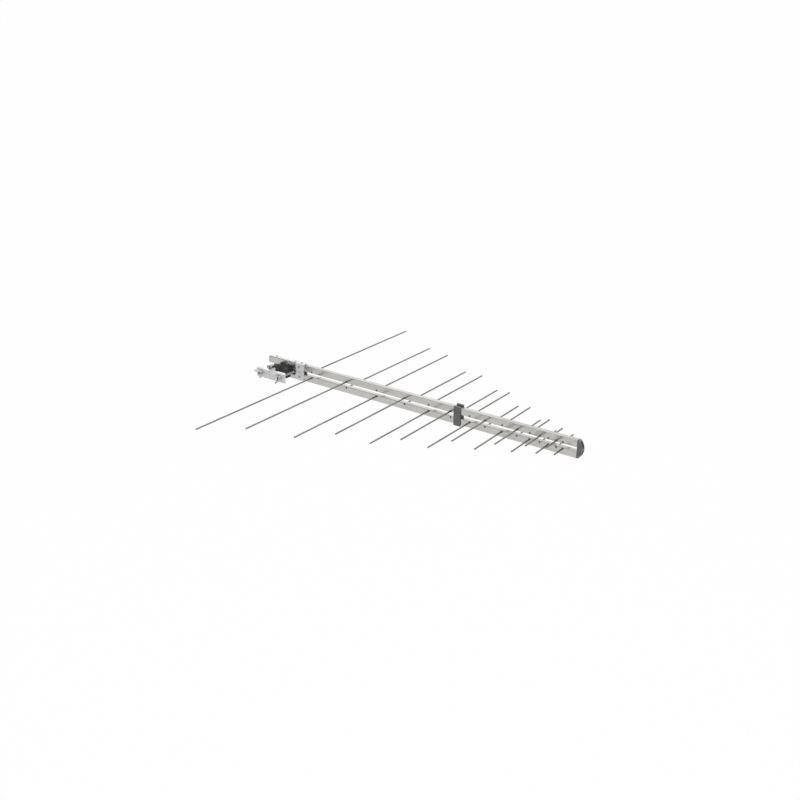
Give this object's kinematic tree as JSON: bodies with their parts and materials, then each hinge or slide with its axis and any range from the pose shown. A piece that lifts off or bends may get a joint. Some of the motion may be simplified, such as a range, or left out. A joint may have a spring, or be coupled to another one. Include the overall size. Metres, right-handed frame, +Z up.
{
  "type": "log periodic antenna",
  "caption": "Log periodic antenna: twin aluminium booms with alternating half rods of falling length, nose cap, spacer and a wing nut mast clamp.",
  "frame": {"origin": "on the axis of the mast that the clamp closes on, halfway up its jaw and saddle", "axes": "+X along the booms to the nose, +Y from the wing nuts through the mast to the booms, +Z up along the mast"},
  "size_m": [0.99, 0.882, 0.056],
  "materials": {
    "boom_aluminium": "extruded and lightly anodised, fine lines along the tube",
    "rod_aluminium": "drawn aluminium, satin, greyed",
    "galvanised_sheet": "folded galvanised sheet",
    "zinc_fastener": "bright zinc plating",
    "grey_plastic": "moulded, fine grain",
    "black_plastic": "moulded, weathered",
    "feed_brass": "bare strip and rivet",
    "socket_metal": "nickel plated",
    "cable_sheath": "white sheath"
  },
  "bodies": {
    "antenna": {"bolt_left": "zinc_fastener", "bolt_right": "zinc_fastener", "boom_lower": "boom_aluminium", "boom_screw": "zinc_fastener", "boom_upper": "boom_aluminium", "bracket_screws": "zinc_fastener", "clamp_bracket": "galvanised_sheet", "clip_screws": "zinc_fastener", "feed_cable": "cable_sheath", "feed_link": "feed_brass", "feed_rivet": "feed_brass", "mast_saddle": "black_plastic", "nose_cap": "grey_plastic", "rear_clip": "galvanised_sheet", "rear_spacer": "black_plastic", "rod_01_front": "rod_aluminium", "rod_01_rear": "rod_aluminium", "rod_02_front": "rod_aluminium", "rod_02_rear": "rod_aluminium", "rod_03_front": "rod_aluminium", "rod_03_rear": "rod_aluminium", "rod_04_front": "rod_aluminium", "rod_04_rear": "rod_aluminium", "rod_05_front": "rod_aluminium", "rod_05_rear": "rod_aluminium", "rod_06_front": "rod_aluminium", "rod_06_rear": "rod_aluminium", "rod_07_front": "rod_aluminium", "rod_07_rear": "rod_aluminium", "rod_08_front": "rod_aluminium", "rod_08_rear": "rod_aluminium", "rod_09_front": "rod_aluminium", "rod_09_rear": "rod_aluminium", "rod_10_front": "rod_aluminium", "rod_10_rear": "rod_aluminium", "rod_11_front": "rod_aluminium", "rod_11_rear": "rod_aluminium", "rod_12_front": "rod_aluminium", "rod_12_rear": "rod_aluminium", "rod_13_front": "rod_aluminium", "rod_13_rear": "rod_aluminium", "rod_14_front": "rod_aluminium", "rod_14_rear": "rod_aluminium", "rod_15_front": "rod_aluminium", "rod_15_rear": "rod_aluminium", "saddle_screw": "zinc_fastener", "spacer_front": "grey_plastic", "spacer_rear": "grey_plastic", "spacer_screw": "zinc_fastener", "tail_plug": "black_plastic", "tail_socket": "socket_metal"},
    "jaw": {"clamp_jaw": "galvanised_sheet", "washer_left": "zinc_fastener", "washer_right": "zinc_fastener"},
    "wing_nut_left": {"wing_nut_left": "zinc_fastener"},
    "wing_nut_right": {"wing_nut_right": "zinc_fastener"}
  },
  "joints": [
    {"name": "wing_nut_left_turn", "type": "hinge", "parent": "jaw", "child": "wing_nut_left", "pos_m": [-0.0345, -0.0269, 0.0025], "axis": [0, 1, 0], "range_deg": [0, 5400]},
    {"name": "wing_nut_right_turn", "type": "hinge", "parent": "jaw", "child": "wing_nut_right", "pos_m": [0.0345, -0.0269, 0.0025], "axis": [0, 1, 0], "range_deg": [0, 5400]},
    {"name": "jaw_slide", "type": "slide", "parent": "antenna", "child": "jaw", "axis": [0, 1, 0], "range_m": [0, 0.015]}
  ],
  "couplings": [
    {"joint": "wing_nut_left_turn", "follows": "jaw_slide", "rad_per_m": 6283.2},
    {"joint": "wing_nut_right_turn", "follows": "jaw_slide", "rad_per_m": 6283.2}
  ]
}
